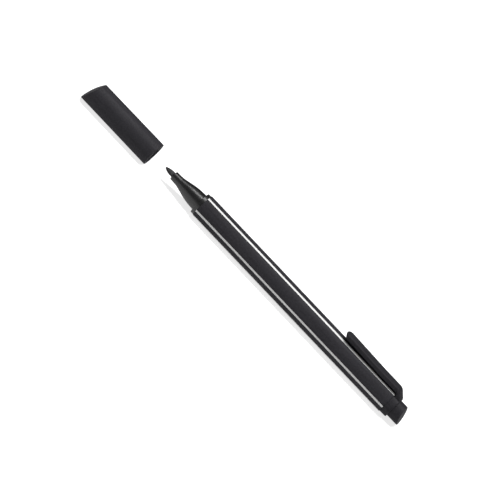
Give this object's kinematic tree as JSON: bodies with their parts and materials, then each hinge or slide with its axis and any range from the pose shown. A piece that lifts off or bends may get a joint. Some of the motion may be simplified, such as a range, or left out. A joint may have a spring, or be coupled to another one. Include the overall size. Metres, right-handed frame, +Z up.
{
  "type": "fineliner pen",
  "caption": "Slim fineliner pen with a striped soft-triangular barrel, glossy cone nose, fibre nib, rear clip and a pull-off cap with a slanted end.",
  "frame": {"origin": "on the floor under the middle of the pen and its cap, as it lies with the clip up and the cap taken off in line with the nib", "axes": "+X along the pen from the cap and nib to the end plug, +Z up through the clip, and the pen is its own mirror image across the XZ plane"},
  "size_m": [0.1688, 0.0102, 0.0132],
  "materials": {
    "barrel_plastic": "satin black moulded plastic",
    "stripe_plastic": "white plastic let into the barrel",
    "nose_plastic": "polished black moulded plastic",
    "nib_fibre": "bonded fibre soaked in black ink",
    "reservoir_fibre": "bundled fibre soaked in black ink",
    "wrap_film": "thin clear film",
    "clip_plastic": "satin black moulded plastic",
    "plug_plastic": "satin black moulded plastic",
    "cap_plastic": "satin black moulded plastic",
    "seal_plastic": "soft black moulded plastic"
  },
  "bodies": {
    "pen": {"barrel": "barrel_plastic", "edge_stripe_1": "stripe_plastic", "edge_stripe_2": "stripe_plastic", "edge_stripe_3": "stripe_plastic", "edge_stripe_4": "stripe_plastic", "edge_stripe_5": "stripe_plastic", "edge_stripe_6": "stripe_plastic", "nose": "nose_plastic", "nib": "nib_fibre", "ink_reservoir": "reservoir_fibre", "reservoir_wrap": "wrap_film", "clip_ring": "clip_plastic", "end_plug": "plug_plastic"},
    "clip": {"clip": "clip_plastic"},
    "cap": {"cap_shell": "cap_plastic", "cap_seal": "seal_plastic"}
  },
  "joints": [
    {"name": "cap_slide", "type": "slide", "parent": "pen", "child": "cap", "axis": [1, 0, 0], "range_m": [0, 0.02457]},
    {"name": "clip_flex", "type": "hinge", "parent": "pen", "child": "clip", "pos_m": [0.07464, 0, 0.0127], "axis": [0, 1, 0], "range_deg": [0, 5], "stiffness_Nm_per_rad": 0.3}
  ]
}
